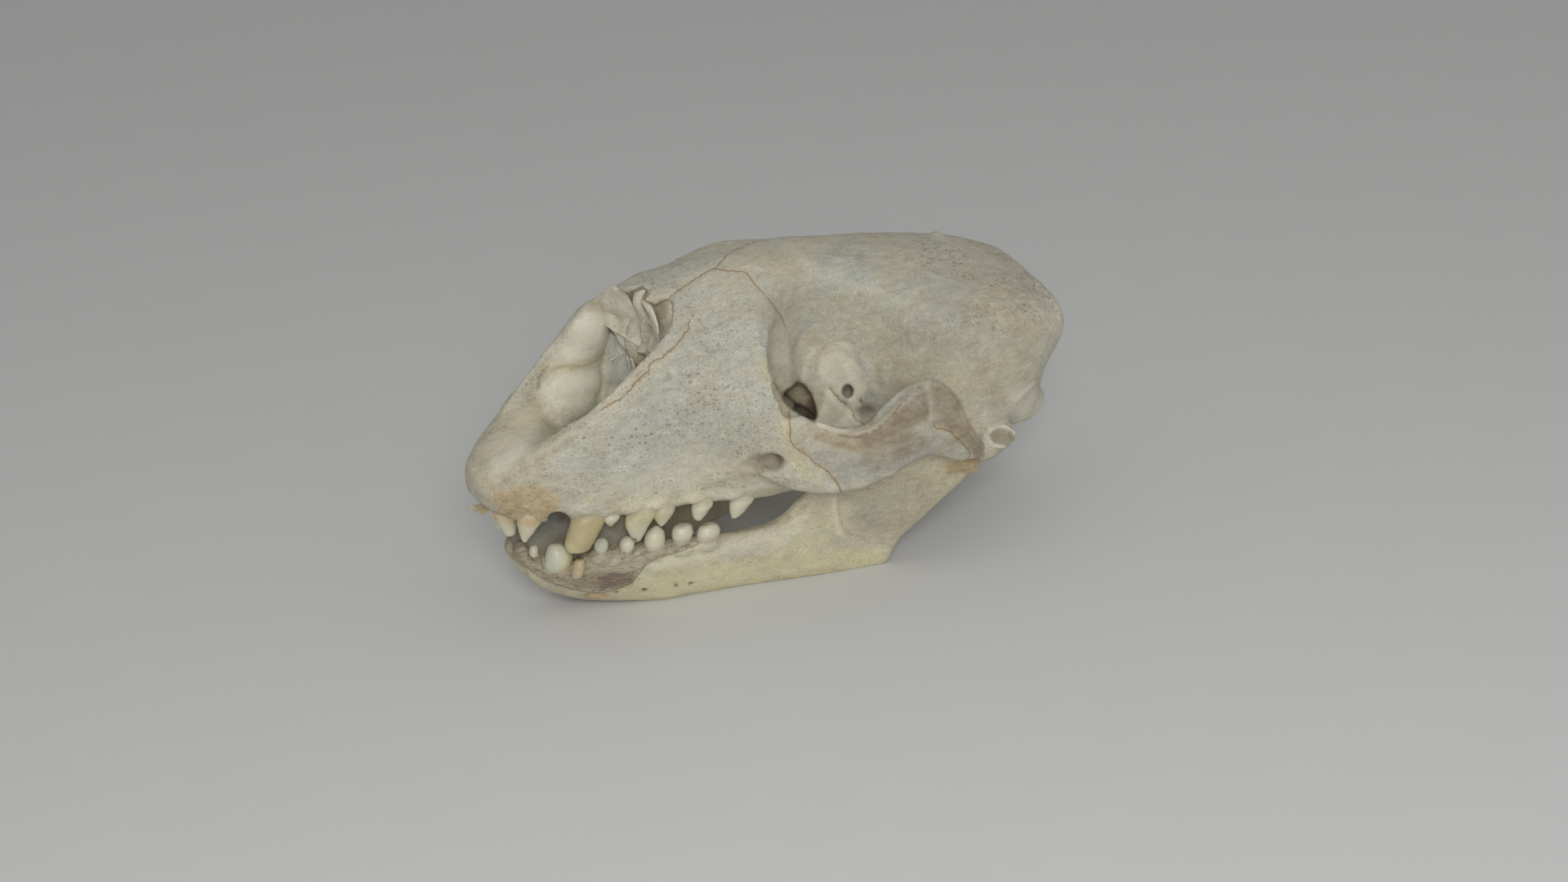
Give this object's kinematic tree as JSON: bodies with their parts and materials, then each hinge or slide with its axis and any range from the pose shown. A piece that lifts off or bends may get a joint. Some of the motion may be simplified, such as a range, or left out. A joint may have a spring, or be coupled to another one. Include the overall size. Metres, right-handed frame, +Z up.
{
  "type": "seal skull",
  "caption": "Dried skull of a true seal with its lower jaw closed under it, standing on the lower edge of the jaw.",
  "frame": {"origin": "middle of the box's underside, on the surface that the lower jaw rests on", "axes": "+X back along the skull from the nose to the occiput, +Y to the skull's right side, +Z up"},
  "size_m": [0.2812, 0.1602, 0.143],
  "materials": {
    "cranium_bone": "dry porous bone, matt",
    "jaw_bone": "dry bone, slightly oily",
    "tooth": "enamel, soft gloss",
    "canine": "stained enamel, soft gloss"
  },
  "bodies": {
    "root": {"cranium": "cranium_bone", "lower_canine_left": "canine", "lower_canine_right": "canine", "lower_cheek_1_left": "tooth", "lower_cheek_1_right": "tooth", "lower_cheek_2_left": "tooth", "lower_cheek_2_right": "tooth", "lower_cheek_3_left": "tooth", "lower_cheek_3_right": "tooth", "lower_cheek_4_left": "tooth", "lower_cheek_4_right": "tooth", "lower_cheek_5_left": "tooth", "lower_cheek_5_right": "tooth", "lower_incisor_1_left": "tooth", "lower_incisor_1_right": "tooth", "mandible_left": "jaw_bone", "mandible_right": "jaw_bone", "upper_canine_left": "canine", "upper_canine_right": "canine", "upper_cheek_1_left": "tooth", "upper_cheek_1_right": "tooth", "upper_cheek_2_left": "tooth", "upper_cheek_2_right": "tooth", "upper_cheek_3_left": "tooth", "upper_cheek_3_right": "tooth", "upper_cheek_4_left": "tooth", "upper_cheek_4_right": "tooth", "upper_cheek_5_left": "tooth", "upper_cheek_5_right": "tooth", "upper_incisor_1_left": "tooth", "upper_incisor_1_right": "tooth", "upper_incisor_2_left": "tooth", "upper_incisor_2_right": "tooth"}
  },
  "joints": []
}
